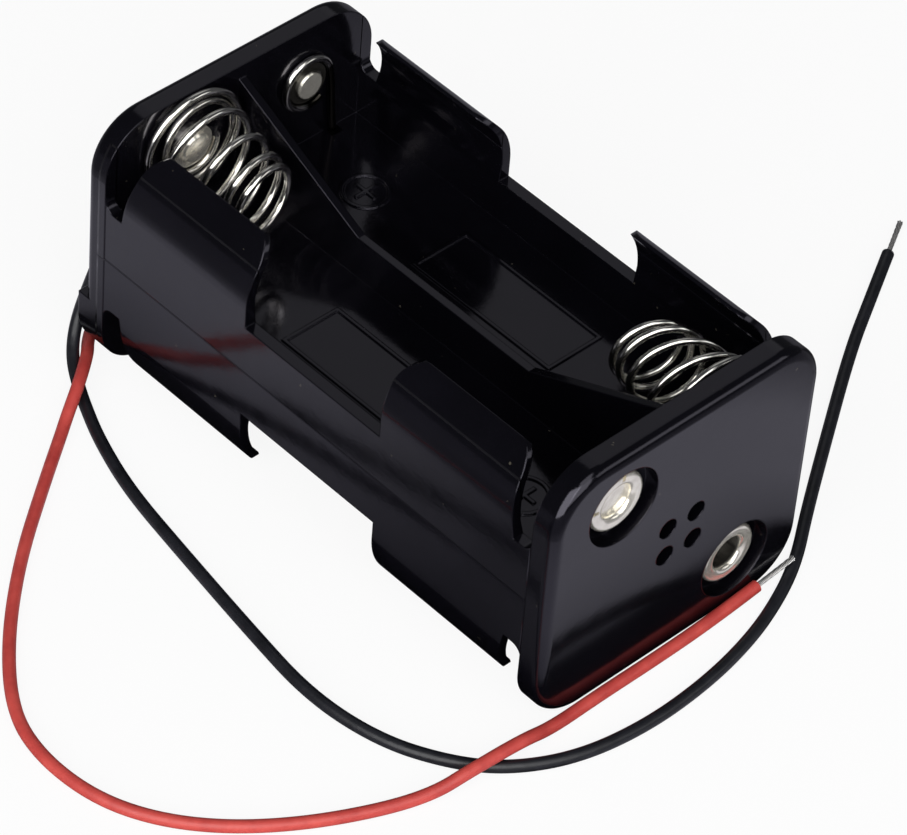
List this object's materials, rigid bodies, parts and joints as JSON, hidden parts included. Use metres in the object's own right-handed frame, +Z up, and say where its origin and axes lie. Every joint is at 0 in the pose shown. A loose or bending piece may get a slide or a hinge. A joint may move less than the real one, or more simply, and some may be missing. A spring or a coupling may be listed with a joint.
{
  "type": "cylindrical cell holder",
  "caption": "Two-deck snap-in holder for round cells: black moulded trays with tabs, coil springs, contact rivets and two flying leads.",
  "frame": {"origin": "bottom centre of the holder's box, leads left out", "axes": "+X along the cells, from the end plate with the leads to the plain one; +Y across the bays; +Z up"},
  "size_m": [0.0665, 0.1025, 0.0279],
  "materials": {
    "housing_plastic": "glossy moulded black",
    "spring_wire": "bright nickel plate on drawn wire",
    "contact_plating": "bright nickel plate",
    "solder": "smooth solder",
    "red_insulation": "smooth soft plastic",
    "black_insulation": "smooth soft plastic",
    "tinned_strands": "tinned twisted strands"
  },
  "bodies": {
    "root": {"housing": "housing_plastic", "spring_minus_lead": "spring_wire", "spring_upper_right": "spring_wire", "spring_lower_right": "spring_wire", "spring_lower_left": "spring_wire", "rivet_minus_lead": "contact_plating", "rivet_far_upper": "contact_plating", "rivet_plus_lead": "contact_plating", "rivet_near_upper": "contact_plating", "rivet_near_lower": "contact_plating", "solder_minus": "solder", "solder_plus": "solder", "red_lead": "red_insulation", "black_lead": "black_insulation", "red_lead_tip": "tinned_strands", "red_lead_strands": "tinned_strands", "black_lead_tip": "tinned_strands", "black_lead_strands": "tinned_strands"}
  },
  "joints": []
}
